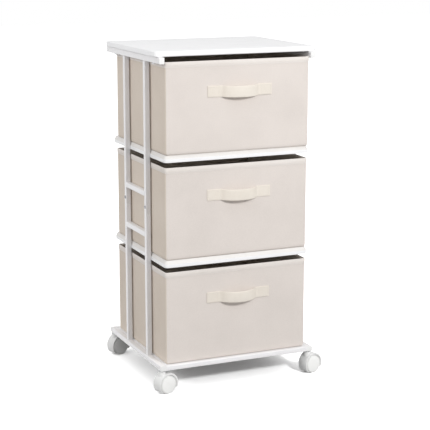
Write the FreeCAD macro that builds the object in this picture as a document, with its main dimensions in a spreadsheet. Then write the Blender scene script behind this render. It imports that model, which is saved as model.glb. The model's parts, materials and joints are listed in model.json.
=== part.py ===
import FreeCAD, Part
import math
import os
import re
import Sketcher

Vector = FreeCAD.Vector
UP = Vector(0, 0, 1)

doc = FreeCAD.newDocument("drawer_cart")

# The driving dimensions, in millimetres and degrees
SIZES = {
    # top board and the lip by which it passes the frame's sides
    "board_width": 403,
    "board_depth": 330,
    "board_thick": 12.5,
    "board_corner": 8,
    "board_edge": 2.5,
    "board_lip": 7,
    # oblong tube of the top and base rails, and the plastic caps in its ends
    "rail_tube": 15,
    "rail_flat": 12,
    "rail_wall": 1.2,
    "rail_corner": 2,
    "cap_thick": 1.5,
    "cap_plug": 4,
    "fit_clear": 0.2,
    # square tube of the posts and rungs
    "post_tube": 12,
    "post_wall": 1,
    "post_corner": 1.5,
    "front_post_inset": 89,
    "rear_post_inset": 108,
    "lower_post_length": 342.5,
    "upper_rung_rise": 47,
    "lower_rung_drop": 50,
    # inner tubes, bolts and nuts that join each upper post to its lower post
    "splice_length": 60,
    "splice_wall": 1,
    "splice_clear": 0.15,
    "bolt_rise": 16,
    "bolt_radius": 2,
    "bolt_head_radius": 3.5,
    "bolt_head_thick": 1.8,
    "bolt_length": 7,
    "nut_width": 7,
    "nut_thick": 3.2,
    "hole_clear": 0.2,
    "thread_clear": 0.1,
    # middle shelves and the steel pins that carry them
    "shelf_thick": 16,
    "shelf_edge": 8,
    "shelf_bevel": 4.5,
    "shelf_corner": 10,
    "shelf_inset": 3,
    "pin_radius": 2.5,
    "pin_bite": 8,
    "pin_reach": 6,
    "pin_height": 4.2,
    # base frame, its deck and the plates in its corners
    "base_overhang": 10,
    "base_step": 1.5,
    "deck_thick": 8,
    "deck_clear": 0.3,
    "gusset_leg": 40,
    "gusset_thick": 3,
    # wood screws of the top board and of the deck
    "screw_radius": 2,
    "screw_head_radius": 4,
    "screw_head_thick": 2.5,
    "board_screw_bite": 8,
    "board_screw_inset": 40,
    "deck_screw_bite": 6,
    "deck_screw_inset": 12,
    # heights of the base and of the three bays
    "base_height": 57,
    "top_drawer_height": 210,
    "middle_drawer_height": 215,
    "bottom_drawer_height": 220,
    "drawer_gap": 12.5,
    "top_gap": 11,
    # cloth drawers with boards in their walls and floor
    "drawer_side_gap": 3,
    "drawer_front_inset": 7,
    "drawer_rear_inset": 21,
    "top_drawer_out": 4,
    "bottom_drawer_in": 2,
    "drawer_corner": 6,
    "drawer_foot_round": 3,
    "seat_clear": 0.3,
    "cloth_thick": 1.5,
    "hem_height": 12,
    "hem_fold": 1.2,
    "wall_board_thick": 2.5,
    "wall_board_drop": 2,
    "floor_board_thick": 3,
    "insert_clear": 0.2,
    # strap handles, sewn flat at both ends and bowed between
    "handle_length": 160,
    "handle_width": 26,
    "handle_thick": 2,
    "handle_sewn": 30,
    "handle_bow": 22,
    "handle_root_bend": 9,
    "handle_drop": 57,
    "handle_shift": 2.5,
    # twin-wheel swivel casters
    "caster_inset": 12,
    "caster_yaw": 17,
    "trail": 10,
    "wheel_radius": 22,
    "caster_width": 30,
    "wheel_edge": 1.2,
    "wheel_dome": 1.2,
    "cap_groove_inset": 2.4,
    "cap_groove_width": 0.6,
    "cap_groove_depth": 0.8,
    "wheel_gap": 0.5,
    "axle_radius": 3,
    "axle_clear": 0.05,
    "axle_cover": 3.2,
    "axle_end_gap": 0.3,
    "spine_thick": 6.4,
    "tread_clear": 1.2,
    "hood_width": 27,
    "hood_wall": 2.2,
    "hood_rim": 4.4,
    "hood_front_angle": 41,
    "hood_back_angle": 20,
    "neck_radius": 8.5,
    "hood_gap": 0.4,
    "stem_radius": 4,
    "stem_clear": 0.05,
    "stem_reach": 8.5,
    "stem_end_gap": 0.8,
    "stem_thread_gap": 1,
    "collar_radius": 6.5,
    "collar_thick": 1.3,
    "bush_radius": 5.5,
    "bush_flange_radius": 7,
    "bush_flange": 1,
    "bush_head_room": 1,
}

sheet = doc.addObject("Spreadsheet::Sheet", "Sizes")
for row, (alias, size) in enumerate(SIZES.items(), start=1):
    sheet.set(f"A{row}", alias)
    sheet.set(f"B{row}", str(size))
    sheet.setAlias(f"B{row}", alias)
doc.recompute()

# Places worked out from the driving dimensions
POST_X = "(board_width / 2 - board_lip - rail_flat / 2)"
BAY_HALF = f"({POST_X} - post_tube / 2)"
BASE_RAIL_X = f"({POST_X} + base_step)"
BASE_INSIDE_X = f"({BASE_RAIL_X} - rail_tube / 2)"
BASE_HALF_DEPTH = "(board_depth / 2 + base_overhang)"
BASE_INSIDE_Y = f"({BASE_HALF_DEPTH} - rail_tube)"
RAIL_LENGTH = f"(2 * ({BASE_HALF_DEPTH} - cap_thick))"
BASE_TOP = "(base_height + rail_flat)"
SEAM = f"({BASE_TOP} + lower_post_length)"
LOWER_SHELF = f"({BASE_TOP} + bottom_drawer_height + drawer_gap)"
UPPER_SHELF = f"({LOWER_SHELF} + shelf_thick + middle_drawer_height + drawer_gap)"
BOARD_UNDERSIDE = f"({UPPER_SHELF} + shelf_thick + top_drawer_height + top_gap)"
TOP_RAIL_UNDERSIDE = f"({BOARD_UNDERSIDE} - rail_tube)"
POST_Y = {
    "front": "(front_post_inset - board_depth / 2)",
    "rear": "(board_depth / 2 - rear_post_inset)",
}
SIDES = {"left": -1, "right": 1}
ENDS = {"front": -1, "rear": 1}

ALIAS = re.compile(r"\b(" + "|".join(sorted(SIZES, key=len, reverse=True)) + r")\b")
NEAR = Part.Vertex(0, 0, 0).Tolerance
PIECES = []


def bind(item, name, expression):
    """Tie a property to the sheet."""
    item.setExpression(name, ALIAS.sub(r"Sizes.\1", expression))


def size_of(expression):
    """The present value of an expression in the sheet's names."""
    result = sheet.evalExpression(expression)
    return float(getattr(result, "Value", result))


def keep(item, label):
    """Name a finished sub-part and put it on the list of pieces."""
    item.Label = label
    PIECES.append(item)
    return item


def place(item, x="0", y="0", z="0", turn="0"):
    """Put an item in its place, turned about the vertical."""
    item.Placement = FreeCAD.Placement(Vector(0, 0, 0), FreeCAD.Rotation(UP, 1))
    for axis, expression in zip("xyz", (x, y, z)):
        bind(item, f"Placement.Base.{axis}", expression)
    bind(item, "Placement.Rotation.Angle", turn)
    return item


def new_body(name):
    return doc.addObject("PartDesign::Body", name)


def new_sketch(body, name, plane, rise="0"):
    """A sketch on one of the body's own planes, raised along its normal."""
    sketch = body.newObject("Sketcher::SketchObject", name)
    origin_plane = [p for p in body.Origin.OriginFeatures if p.Role == f"{plane}_Plane"][0]
    sketch.AttachmentSupport = (origin_plane, [""])
    sketch.MapMode = "FlatFace"
    bind(sketch, "AttachmentOffset.Base.z", rise)
    return sketch


def constrain(sketch, kind, geometry, expression):
    """Add one measured constraint and tie it to the sheet."""
    number = sketch.addConstraint(Sketcher.Constraint(kind, *geometry, size_of(expression)))
    bind(sketch, f"Constraints[{number}]", expression)


def draw_circle(sketch, x, y, radius):
    centre = Vector(size_of(x), size_of(y), 0)
    index = sketch.addGeometry(Part.Circle(centre, UP, size_of(radius)), False)
    constrain(sketch, "DistanceX", (-1, 1, index, 3), x)
    constrain(sketch, "DistanceY", (-1, 1, index, 3), y)
    constrain(sketch, "Radius", (index,), radius)


def draw_outline(sketch, points):
    """Draw a closed outline.

    Each point is (x, y) or (x, y, radius, side): then an arc leads from it to the next point,
    with its centre to the left of the way for side 1 and to the right for side -1.
    """
    places = [Vector(size_of(p[0]), size_of(p[1]), 0) for p in points]
    joints = []
    for here, point in enumerate(points):
        start = places[here]
        end = places[(here + 1) % len(points)]
        if len(point) == 2:
            index = sketch.addGeometry(Part.LineSegment(start, end), False)
            joints.append(((index, 1), (index, 2)))
            continue
        radius = size_of(point[2])
        side = point[3]
        chord = end - start
        left = Vector(-chord.y, chord.x, 0).normalize()
        reach = math.sqrt(max(radius ** 2 - (chord.Length / 2) ** 2, 0))
        centre = (start + end) / 2 + left * reach * side
        first, last = (start, end) if side == 1 else (end, start)
        angles = [math.atan2(p.y - centre.y, p.x - centre.x) for p in (first, last)]
        circle = Part.Circle(centre, UP, radius)
        index = sketch.addGeometry(Part.ArcOfCircle(circle, *angles), False)
        joints.append(((index, 1), (index, 2)) if side == 1 else ((index, 2), (index, 1)))
        constrain(sketch, "Radius", (index,), point[2])
    for here, point in enumerate(points):
        arrival = joints[here - 1][1]
        departure = joints[here][0]
        sketch.addConstraint(Sketcher.Constraint("Coincident", *arrival, *departure))
        constrain(sketch, "DistanceX", (-1, 1, *departure), point[0])
        constrain(sketch, "DistanceY", (-1, 1, *departure), point[1])


def rectangle(half_width, half_depth, x="0", y="0"):
    """The corners of a rectangle about (x, y), anticlockwise."""
    return [
        (f"{x} - {half_width}", f"{y} - {half_depth}"),
        (f"{x} + {half_width}", f"{y} - {half_depth}"),
        (f"{x} + {half_width}", f"{y} + {half_depth}"),
        (f"{x} - {half_width}", f"{y} + {half_depth}"),
    ]


def rounded_rectangle(half_width, half_depth, radius):
    """A rectangle about the origin whose corners are arcs."""
    return [
        (f"{half_width} - {radius}", f"-{half_depth}", radius, 1),
        (f"{half_width}", f"{radius} - {half_depth}"),
        (f"{half_width}", f"{half_depth} - {radius}", radius, 1),
        (f"{half_width} - {radius}", f"{half_depth}"),
        (f"{radius} - {half_width}", f"{half_depth}", radius, 1),
        (f"-{half_width}", f"{half_depth} - {radius}"),
        (f"-{half_width}", f"{radius} - {half_depth}", radius, 1),
        (f"{radius} - {half_width}", f"-{half_depth}"),
    ]


def pad(body, sketch, length, symmetric=False):
    feature = body.newObject("PartDesign::Pad", f"{sketch.Name}_pad")
    feature.Profile = sketch
    bind(feature, "Length", length)
    if symmetric:
        feature.SideType = "Symmetric"
    sketch.Visibility = False
    return feature


def pocket(body, sketch, depth, forwards=False):
    """Cut a sketch back along its normal, or forwards along it."""
    feature = body.newObject("PartDesign::Pocket", f"{sketch.Name}_pocket")
    feature.Profile = sketch
    feature.Reversed = forwards
    bind(feature, "Length", depth)
    sketch.Visibility = False
    return feature


def through(body, sketch):
    """Cut a sketch right through, both ways."""
    feature = body.newObject("PartDesign::Pocket", f"{sketch.Name}_through")
    feature.Profile = sketch
    feature.Type = "ThroughAll"
    feature.SideType = "Symmetric"
    sketch.Visibility = False
    return feature


def revolve(body, sketch):
    """Turn a sketch about its own upright axis."""
    feature = body.newObject("PartDesign::Revolution", f"{sketch.Name}_turned")
    feature.Profile = sketch
    feature.ReferenceAxis = (sketch, ["V_Axis"])
    feature.Angle = 360
    sketch.Visibility = False
    return feature


def edges_where(feature, test):
    """Names of a feature's edges whose box passes a test."""
    doc.recompute()
    edges = enumerate(feature.Shape.Edges, start=1)
    return [f"Edge{number}" for number, edge in edges if test(edge.BoundBox)]


def fillet(body, feature, test, radius):
    rounding = body.newObject("PartDesign::Fillet", f"{feature.Name}_rounded")
    rounding.Base = (feature, edges_where(feature, test))
    bind(rounding, "Radius", radius)
    return rounding


def copies(label, body, places):
    """One node of separate, equal solids, each at its own place."""
    links = []
    for number, spot in enumerate(places, start=1):
        link = doc.addObject("App::Link", f"{body.Name}_{number}")
        link.setLink(body)
        link.LinkTransform = True
        links.append(place(link, *spot))
    group = doc.addObject("Part::Compound", f"{body.Name}_group")
    group.Links = links
    return keep(group, label)


def signed(sign, expression):
    return expression if sign > 0 else f"(-{expression})"


# Square and oblong tubes

def tube(name, plane, size, wall, corner, length):
    """A tube about the origin, along the normal of its plane, from its width and height."""
    body = new_body(name)
    section = new_sketch(body, f"{name}_section", plane)
    outside = [f"({side} / 2)" for side in size]
    draw_outline(section, rounded_rectangle(*outside, corner))
    draw_outline(section, rectangle(*[f"({half} - {wall})" for half in outside]))
    pad(body, section, length, symmetric=True)
    return body


UPRIGHT = ("rail_flat", "rail_tube")
FLAT = ("rail_tube", "rail_flat")


def rail(name, plane, size, length):
    return tube(name, plane, size, "rail_wall", "rail_corner", length)


def post_tube(name, plane, length):
    return tube(name, plane, ("post_tube", "post_tube"), "post_wall", "post_corner", length)


# Top board, a flat panel with rounded corners and edges

def make_top_board():
    body = new_body("board")
    outline = new_sketch(body, "board_outline", "XY")
    corners = rounded_rectangle("(board_width / 2)", "(board_depth / 2)", "board_corner")
    draw_outline(outline, corners)
    slab = pad(body, outline, "board_thick")
    holes = new_sketch(body, "board_holes", "XY")
    for x, y in board_screw_places():
        draw_circle(holes, x, y, "(screw_radius + thread_clear)")
    fillet(body, slab, lambda box: box.ZLength < NEAR, "board_edge")
    pocket(body, holes, "(board_screw_bite + thread_clear)", forwards=True)
    keep(place(body, z=BOARD_UNDERSIDE), "top_board")


def board_screw_places():
    reach = "(board_depth / 2 - board_screw_inset)"
    return [(signed(s, POST_X), signed(e, reach)) for s in SIDES.values() for e in ENDS.values()]


def make_top_rails():
    for side, sign in SIDES.items():
        body = rail(f"top_rail_{side}", "XZ", UPRIGHT, RAIL_LENGTH)
        holes = new_sketch(body, f"top_rail_{side}_holes", "XY")
        for end in ENDS.values():
            reach = signed(end, "(board_depth / 2 - board_screw_inset)")
            draw_circle(holes, "0", reach, "(screw_radius + hole_clear)")
        through(body, holes)
        height = f"({BOARD_UNDERSIDE} - rail_tube / 2)"
        keep(place(body, x=signed(sign, POST_X), z=height), f"top_rail_{side}")


def make_rail_end_caps():
    height = f"({BOARD_UNDERSIDE} - rail_tube / 2)"
    end_caps("top_rail_caps", UPRIGHT, POST_X, height)
    end_caps("base_rail_caps", FLAT, BASE_RAIL_X, "(base_height + rail_flat / 2)")


def end_caps(label, size, x, z):
    """Plastic caps: a plate flush with the tube and a plug inside it, facing -Y."""
    body = new_body(f"{label}_body")
    plate = new_sketch(body, f"{label}_plate", "XZ")
    outside = [f"({side} / 2)" for side in size]
    draw_outline(plate, rounded_rectangle(*outside, "rail_corner"))
    pad(body, plate, "cap_thick")
    plug = new_sketch(body, f"{label}_plug", "XZ", "(-cap_plug)")
    draw_outline(plug, rectangle(*[f"({half} - rail_wall - fit_clear)" for half in outside]))
    pad(body, plug, "cap_plug")
    reach = f"({BASE_HALF_DEPTH} - cap_thick)"
    places = []
    for side in SIDES.values():
        for end in ENDS.values():
            places.append((signed(side, x), signed(end, reach), z, "0" if end < 0 else "180"))
    copies(label, body, places)


# Side frames: posts in two lengths, with rungs between them

def make_posts():
    """Each post is drawn with its outer face towards -X, and turned round for the right side."""
    for side, sign in SIDES.items():
        for end, y in POST_Y.items():
            make_lower_post(side, sign, end, y)
            make_upper_post(side, sign, end, y)


def wall_hole(body, name, height, radius, inner):
    """A hole through one wall of a post: the inner one, or the outer one."""
    hole = new_sketch(body, name, "YZ")
    draw_circle(hole, "0", height, radius)
    pocket(body, hole, "post_tube", forwards=inner)


def make_lower_post(side, sign, end, y):
    name = f"lower_post_{end}_{side}"
    body = post_tube(name, "XY", "lower_post_length")
    middle = f"({BASE_TOP} + lower_post_length / 2)"
    pin = f"({LOWER_SHELF} + pin_height - {middle})"
    wall_hole(body, f"{name}_pin_hole", pin, "(pin_radius + hole_clear)", True)
    turn = "0" if sign < 0 else "180"
    keep(place(body, signed(sign, POST_X), y, middle, turn), name)


def make_upper_post(side, sign, end, y):
    name = f"upper_post_{end}_{side}"
    length = f"({TOP_RAIL_UNDERSIDE} - {SEAM})"
    body = post_tube(name, "XY", length)
    middle = f"({SEAM} + {length} / 2)"
    pin = f"({UPPER_SHELF} + pin_height - {middle})"
    wall_hole(body, f"{name}_pin_hole", pin, "(pin_radius + hole_clear)", True)
    bolt = f"({SEAM} + bolt_rise - {middle})"
    wall_hole(body, f"{name}_bolt_hole", bolt, "(bolt_radius + hole_clear)", False)
    turn = "0" if sign < 0 else "180"
    keep(place(body, signed(sign, POST_X), y, middle, turn), name)


def make_rungs():
    span = f"({POST_Y['rear']} - {POST_Y['front']} - post_tube)"
    middle = f"(({POST_Y['rear']} + {POST_Y['front']}) / 2)"
    heights = {"upper": f"({SEAM} + upper_rung_rise)", "lower": f"({SEAM} - lower_rung_drop)"}
    for level, height in heights.items():
        for side, sign in SIDES.items():
            body = post_tube(f"{level}_rung_{side}", "XZ", span)
            keep(place(body, signed(sign, POST_X), middle, height), f"{level}_rung_{side}")


def post_places(height):
    """The four posts' centres at a height, turned round on the right side."""
    places = []
    for sign in SIDES.values():
        for y in POST_Y.values():
            places.append((signed(sign, POST_X), y, height, "0" if sign < 0 else "180"))
    return places


def make_splices():
    """An inner tube bridges each seam; a bolt from outside holds it by a nut inside it."""
    width = "(post_tube - 2 * post_wall - 2 * splice_clear)"
    body = tube("splice", "XY", (width, width), "splice_wall", "splice_wall", "splice_length")
    wall_hole(body, "splice_hole", "bolt_rise", "(bolt_radius + hole_clear)", False)
    copies("splice_tubes", body, post_places(SEAM))
    bolt = new_body("bolt")
    turned_screw(bolt, "bolt_radius", "bolt_head_radius", "bolt_head_thick", "bolt_length")
    lay_down(bolt)
    outside = f"({POST_X} + post_tube / 2)"
    height = f"({SEAM} + bolt_rise)"
    copies("splice_bolts", bolt, outer_places(outside, height))
    nut = new_body("nut")
    section = new_sketch(nut, "nut_section", "YZ")
    draw_outline(section, hexagon("(nut_width / 2)"))
    draw_circle(section, "0", "0", "(bolt_radius + thread_clear)")
    pad(nut, section, "nut_thick")
    seat = f"({outside} - post_wall - splice_clear - splice_wall)"
    copies("splice_nuts", nut, outer_places(seat, height))


def outer_places(x, height):
    """Places on the posts' outer sides, for a piece that points inwards along +X."""
    places = []
    for sign in SIDES.values():
        for y in POST_Y.values():
            places.append((signed(sign, x), y, height, "0" if sign < 0 else "180"))
    return places


def hexagon(flat):
    """The corners of a hexagon with two flats upright, from half its width across flats."""
    corners = []
    for corner in range(6):
        turn = f"{60 * corner}"
        corners.append((f"{flat} / cos(30) * sin(-{turn})", f"{flat} / cos(30) * cos({turn})"))
    return corners


def turned_screw(body, radius, head_radius, head_thick, length):
    """A screw that stands on its head: the head below the origin, the shank above it."""
    profile = new_sketch(body, f"{body.Name}_profile", "XZ")
    round_edge = f"({head_thick} / 2)"
    draw_outline(profile, [
        ("0", f"-{head_thick}"),
        (f"{head_radius} - {round_edge}", f"-{head_thick}", round_edge, 1),
        (f"{head_radius}", f"{round_edge} - {head_thick}"),
        (f"{head_radius}", "0"),
        (f"{radius}", "0"),
        (f"{radius}", f"{length} - {radius} / 2"),
        (f"{radius} / 2", f"{length}"),
        ("0", f"{length}"),
    ])
    revolve(body, profile)


def lay_down(body):
    """Turn a standing screw so that its shank points along +X."""
    body.Placement = FreeCAD.Placement(Vector(0, 0, 0), FreeCAD.Rotation(Vector(0, 1, 0), 90))


# Middle shelves, carried by pins between the posts

def make_shelves():
    shelf_body("shelf_lower", LOWER_SHELF)
    shelf_body("shelf_upper", UPPER_SHELF)
    pin = new_body("shelf_pin")
    section = new_sketch(pin, "shelf_pin_section", "YZ")
    draw_circle(section, "0", "0", "pin_radius")
    pad(pin, section, "(pin_bite + pin_reach)")
    start = f"({BAY_HALF} + pin_reach)"
    places = []
    for underside in (LOWER_SHELF, UPPER_SHELF):
        places.extend(outer_places(start, f"({underside} + pin_height)"))
    copies("shelf_pins", pin, places)


def shelf_body(name, underside):
    """A panel whose upper edges slope in all round above an upright edge."""
    body = new_body(name)
    outline = new_sketch(body, f"{name}_outline", "XY")
    half_depth = f"({BASE_HALF_DEPTH} - shelf_inset)"
    draw_outline(outline, rounded_rectangle(BAY_HALF, half_depth, "shelf_corner"))
    slab = pad(body, outline, "shelf_thick")
    bevel = body.newObject("PartDesign::Chamfer", f"{name}_bevel")
    top = size_of("shelf_thick")
    bevel.Base = (slab, edges_where(slab, lambda box: box.ZMin > top - NEAR))
    bevel.ChamferType = "Two distances"
    bind(bevel, "Size", "(shelf_thick - shelf_edge)")
    bind(bevel, "Size2", "shelf_bevel")
    for side, sign in SIDES.items():
        depth = "(pin_bite + fit_clear)"
        rise = signed(sign, f"({BAY_HALF} - {depth})")
        bores = new_sketch(body, f"{name}_bores_{side}", "YZ", rise)
        for y in POST_Y.values():
            draw_circle(bores, y, "pin_height", "(pin_radius + hole_clear)")
        pocket(body, bores, f"(2 * {depth})", forwards=sign > 0)
    keep(place(body, z=underside), name)


# Base: four rails, a deck let in flush between them and corner plates under it

def make_base():
    for side, sign in SIDES.items():
        body = rail(f"base_rail_{side}", "XZ", FLAT, RAIL_LENGTH)
        holes = new_sketch(body, f"base_rail_{side}_holes", "XY")
        for end in ENDS.values():
            reach = signed(end, f"({BASE_HALF_DEPTH} - caster_inset)")
            draw_circle(holes, "0", reach, "(bush_radius + thread_clear)")
        pocket(body, holes, "rail_flat")
        height = "(base_height + rail_flat / 2)"
        keep(place(body, x=signed(sign, BASE_RAIL_X), z=height), f"base_rail_{side}")
    for end, sign in ENDS.items():
        body = rail(f"base_rail_{end}", "YZ", FLAT, f"(2 * {BASE_INSIDE_X})")
        reach = signed(sign, f"({BASE_HALF_DEPTH} - rail_tube / 2)")
        keep(place(body, y=reach, z="(base_height + rail_flat / 2)"), f"base_rail_{end}")


def deck_screw_places():
    x = f"({BASE_INSIDE_X} - deck_screw_inset)"
    y = f"({BASE_INSIDE_Y} - deck_screw_inset)"
    return [(signed(s, x), signed(e, y)) for s in SIDES.values() for e in ENDS.values()]


def make_deck():
    body = new_body("deck")
    outline = new_sketch(body, "deck_outline", "XY")
    half_width = f"({BASE_INSIDE_X} - deck_clear)"
    half_depth = f"({BASE_INSIDE_Y} - deck_clear)"
    draw_outline(outline, rectangle(half_width, half_depth))
    pad(body, outline, "deck_thick")
    holes = new_sketch(body, "deck_holes", "XY")
    for x, y in deck_screw_places():
        draw_circle(holes, x, y, "(screw_radius + thread_clear)")
    pocket(body, holes, "(deck_screw_bite + thread_clear)", forwards=True)
    keep(place(body, z=f"({BASE_TOP} - deck_thick)"), "base_deck")


def make_corner_plates():
    """Three-cornered plates welded into the base's corners, on which the deck lies."""
    body = new_body("corner_plate")
    outline = new_sketch(body, "corner_plate_outline", "XY")
    draw_outline(outline, [("0", "0"), ("gusset_leg", "0"), ("0", "gusset_leg")])
    draw_circle(outline, "deck_screw_inset", "deck_screw_inset", "(screw_radius + hole_clear)")
    pad(body, outline, "gusset_thick")
    height = f"({BASE_TOP} - deck_thick - gusset_thick)"
    turns = {(-1, -1): "0", (1, -1): "90", (1, 1): "180", (-1, 1): "270"}
    places = []
    for (side, end), turn in turns.items():
        corner = (signed(side, BASE_INSIDE_X), signed(end, BASE_INSIDE_Y))
        places.append((*corner, height, turn))
    copies("corner_plates", body, places)


def make_wood_screws():
    sizes = ("screw_radius", "screw_head_radius", "screw_head_thick")
    board_screw = new_body("board_screw")
    turned_screw(board_screw, *sizes, "(rail_tube + board_screw_bite)")
    copies("board_screws", board_screw,
           [(x, y, TOP_RAIL_UNDERSIDE) for x, y in board_screw_places()])
    deck_screw = new_body("deck_screw")
    turned_screw(deck_screw, *sizes, "(gusset_thick + deck_screw_bite)")
    seat = f"({BASE_TOP} - deck_thick - gusset_thick)"
    copies("deck_screws", deck_screw, [(x, y, seat) for x, y in deck_screw_places()])


# Drawers: a cloth box, boards in its walls and floor, and a strap to pull it by

DRAWERS = {
    "top": (f"({UPPER_SHELF} + shelf_thick)", "(-top_drawer_out)"),
    "middle": (f"({LOWER_SHELF} + shelf_thick)", "0"),
    "bottom": (BASE_TOP, "bottom_drawer_in"),
}
SHELL_HEIGHT = {level: f"({level}_drawer_height - seat_clear)" for level in DRAWERS}
DRAWER_HALF_WIDTH = f"({BAY_HALF} - drawer_side_gap)"
DRAWER_DEPTH = f"(2 * {BASE_HALF_DEPTH} - drawer_front_inset - drawer_rear_inset)"
DRAWER_HALF_DEPTH = f"({DRAWER_DEPTH} / 2)"
DRAWER_MIDDLE = "((drawer_front_inset - drawer_rear_inset) / 2)"


def make_drawers():
    for level, (deck, shift) in DRAWERS.items():
        y = f"({DRAWER_MIDDLE} + {shift})"
        floor = f"({deck} + seat_clear)"
        make_drawer_shell(level, y, floor)
        make_drawer_boards(level, y, floor)
        make_drawer_handle(level, y, floor)


def make_drawer_shell(level, y, floor):
    """An open cloth box with a folded hem that stands a little proud at its rim."""
    name = f"drawer_{level}_shell"
    body = new_body(name)
    walls = new_sketch(body, f"{name}_walls", "XY")
    draw_outline(walls, rounded_rectangle(DRAWER_HALF_WIDTH, DRAWER_HALF_DEPTH, "drawer_corner"))
    block = pad(body, walls, SHELL_HEIGHT[level])
    rounded = fillet(body, block, lambda box: box.ZMax < NEAR, "drawer_foot_round")
    rounded.Label = f"{name}_foot"
    hem = new_sketch(body, f"{name}_hem", "XY", f"({SHELL_HEIGHT[level]} - hem_height)")
    hem_width = f"({DRAWER_HALF_WIDTH} + hem_fold)"
    hem_depth = f"({DRAWER_HALF_DEPTH} + hem_fold)"
    draw_outline(hem, rounded_rectangle(hem_width, hem_depth, "(drawer_corner + hem_fold)"))
    pad(body, hem, "hem_height")
    hollow = new_sketch(body, f"{name}_hollow", "XY", "cloth_thick")
    inner_width = f"({DRAWER_HALF_WIDTH} - cloth_thick)"
    inner_depth = f"({DRAWER_HALF_DEPTH} - cloth_thick)"
    inner_corner = "(drawer_corner - cloth_thick)"
    draw_outline(hollow, rounded_rectangle(inner_width, inner_depth, inner_corner))
    pocket(body, hollow, SHELL_HEIGHT[level], forwards=True)
    keep(place(body, y=y, z=floor), name)


def panel(name, length, width, height, x, y, z):
    """A flat board about (x, y), standing on z."""
    board = doc.addObject("Part::Box", name)
    bind(board, "Length", length)
    bind(board, "Width", width)
    bind(board, "Height", height)
    return place(board, f"{x} - {length} / 2", f"{y} - {width} / 2", z)


def make_drawer_boards(level, y, floor):
    """Four boards inside the walls, between the rounded corners, and one on the floor."""
    name = f"drawer_{level}_wall_boards"
    inner_width = f"({DRAWER_HALF_WIDTH} - cloth_thick)"
    inner_depth = f"({DRAWER_HALF_DEPTH} - cloth_thick)"
    inner_corner = "(drawer_corner - cloth_thick)"
    offset = "(insert_clear + wall_board_thick / 2)"
    bottom = f"({floor} + cloth_thick)"
    height = f"({SHELL_HEIGHT[level]} - cloth_thick - wall_board_drop)"
    long_way = f"(2 * ({inner_width} - {inner_corner}))"
    short_way = f"(2 * ({inner_depth} - {inner_corner}))"
    boards = []
    for side, sign in SIDES.items():
        x = signed(sign, f"({inner_width} - {offset})")
        boards.append(panel(f"{name}_{side}", "wall_board_thick", short_way, height, x, y, bottom))
    for end, sign in ENDS.items():
        reach = f"({y} + {signed(sign, f'({inner_depth} - {offset})')})"
        boards.append(panel(f"{name}_{end}", long_way, "wall_board_thick", height, "0", reach, bottom))
    group = doc.addObject("Part::Compound", name)
    group.Links = boards
    keep(group, name)
    inset = "(wall_board_thick + 2 * insert_clear)"
    length = f"(2 * ({inner_width} - {inset}))"
    width = f"(2 * ({inner_depth} - {inset}))"
    name = f"drawer_{level}_floor_board"
    keep(panel(name, length, width, "floor_board_thick", "0", y, bottom), name)


def handle_outline():
    """The strap seen from above: flat ends, then two bends each way to the bowed middle."""
    end = "(handle_length / 2)"
    root = "(handle_length / 2 - handle_sewn)"
    swing = f"(2 * atan(handle_bow / {root}))"
    middle_bend = f"({root} / sin({swing}) - handle_root_bend)"
    half = "(handle_thick / 2)"
    turn_x = f"({root} - handle_root_bend * sin({swing}))"
    turn_y = f"(-{half} - handle_root_bend * (1 - cos({swing})))"
    inner = (f"({turn_x} - {half} * sin({swing}))", f"({turn_y} + {half} * cos({swing}))")
    outer = (f"({turn_x} + {half} * sin({swing}))", f"({turn_y} - {half} * cos({swing}))")
    wide_root = f"(handle_root_bend + {half})"
    tight_root = f"(handle_root_bend - {half})"
    return [
        (end, "0"),
        (root, "0", wide_root, 1),
        (inner[0], inner[1], f"({middle_bend} - {half})", -1),
        (f"-{inner[0]}", inner[1], wide_root, 1),
        (f"-{root}", "0"),
        (f"-{end}", "0"),
        (f"-{end}", "-handle_thick"),
        (f"-{root}", "-handle_thick", tight_root, -1),
        (f"-{outer[0]}", outer[1], f"({middle_bend} + {half})", 1),
        (outer[0], outer[1], tight_root, -1),
        (root, "-handle_thick"),
        (end, "-handle_thick"),
    ]


def make_drawer_handle(level, y, floor):
    name = f"drawer_{level}_handle"
    body = new_body(name)
    strap = new_sketch(body, f"{name}_strap", "XY")
    draw_outline(strap, handle_outline())
    pad(body, strap, "handle_width")
    front = f"({y} - {DRAWER_HALF_DEPTH})"
    height = f"({floor} + {SHELL_HEIGHT[level]} - handle_drop - handle_width)"
    keep(place(body, "handle_shift", front, height), name)


# Casters: a bush in the rail, a stem, and a hood that swivels with two wheels on one axle

HOOD_TOP = "(base_height - bush_flange - collar_thick - hood_gap)"
TREAD_ROOM = "(wheel_radius + tread_clear)"
FRONT_ROUND = f"({TREAD_ROOM} + hood_wall)"
BACK_ROUND = f"({TREAD_ROOM} + hood_rim)"
WHEEL_INNER = "(spine_thick / 2 + wheel_gap)"
WHEEL_OUTER = "(caster_width / 2)"
BORE_END = f"({WHEEL_OUTER} - axle_cover)"
CASTER_X = BASE_RAIL_X
CASTER_Y = f"({BASE_HALF_DEPTH} - caster_inset)"


def caster_spots():
    spots = {}
    for end, y_sign in ENDS.items():
        for side, x_sign in SIDES.items():
            spots[f"{end}_{side}"] = (signed(x_sign, CASTER_X), signed(y_sign, CASTER_Y))
    return spots


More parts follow.
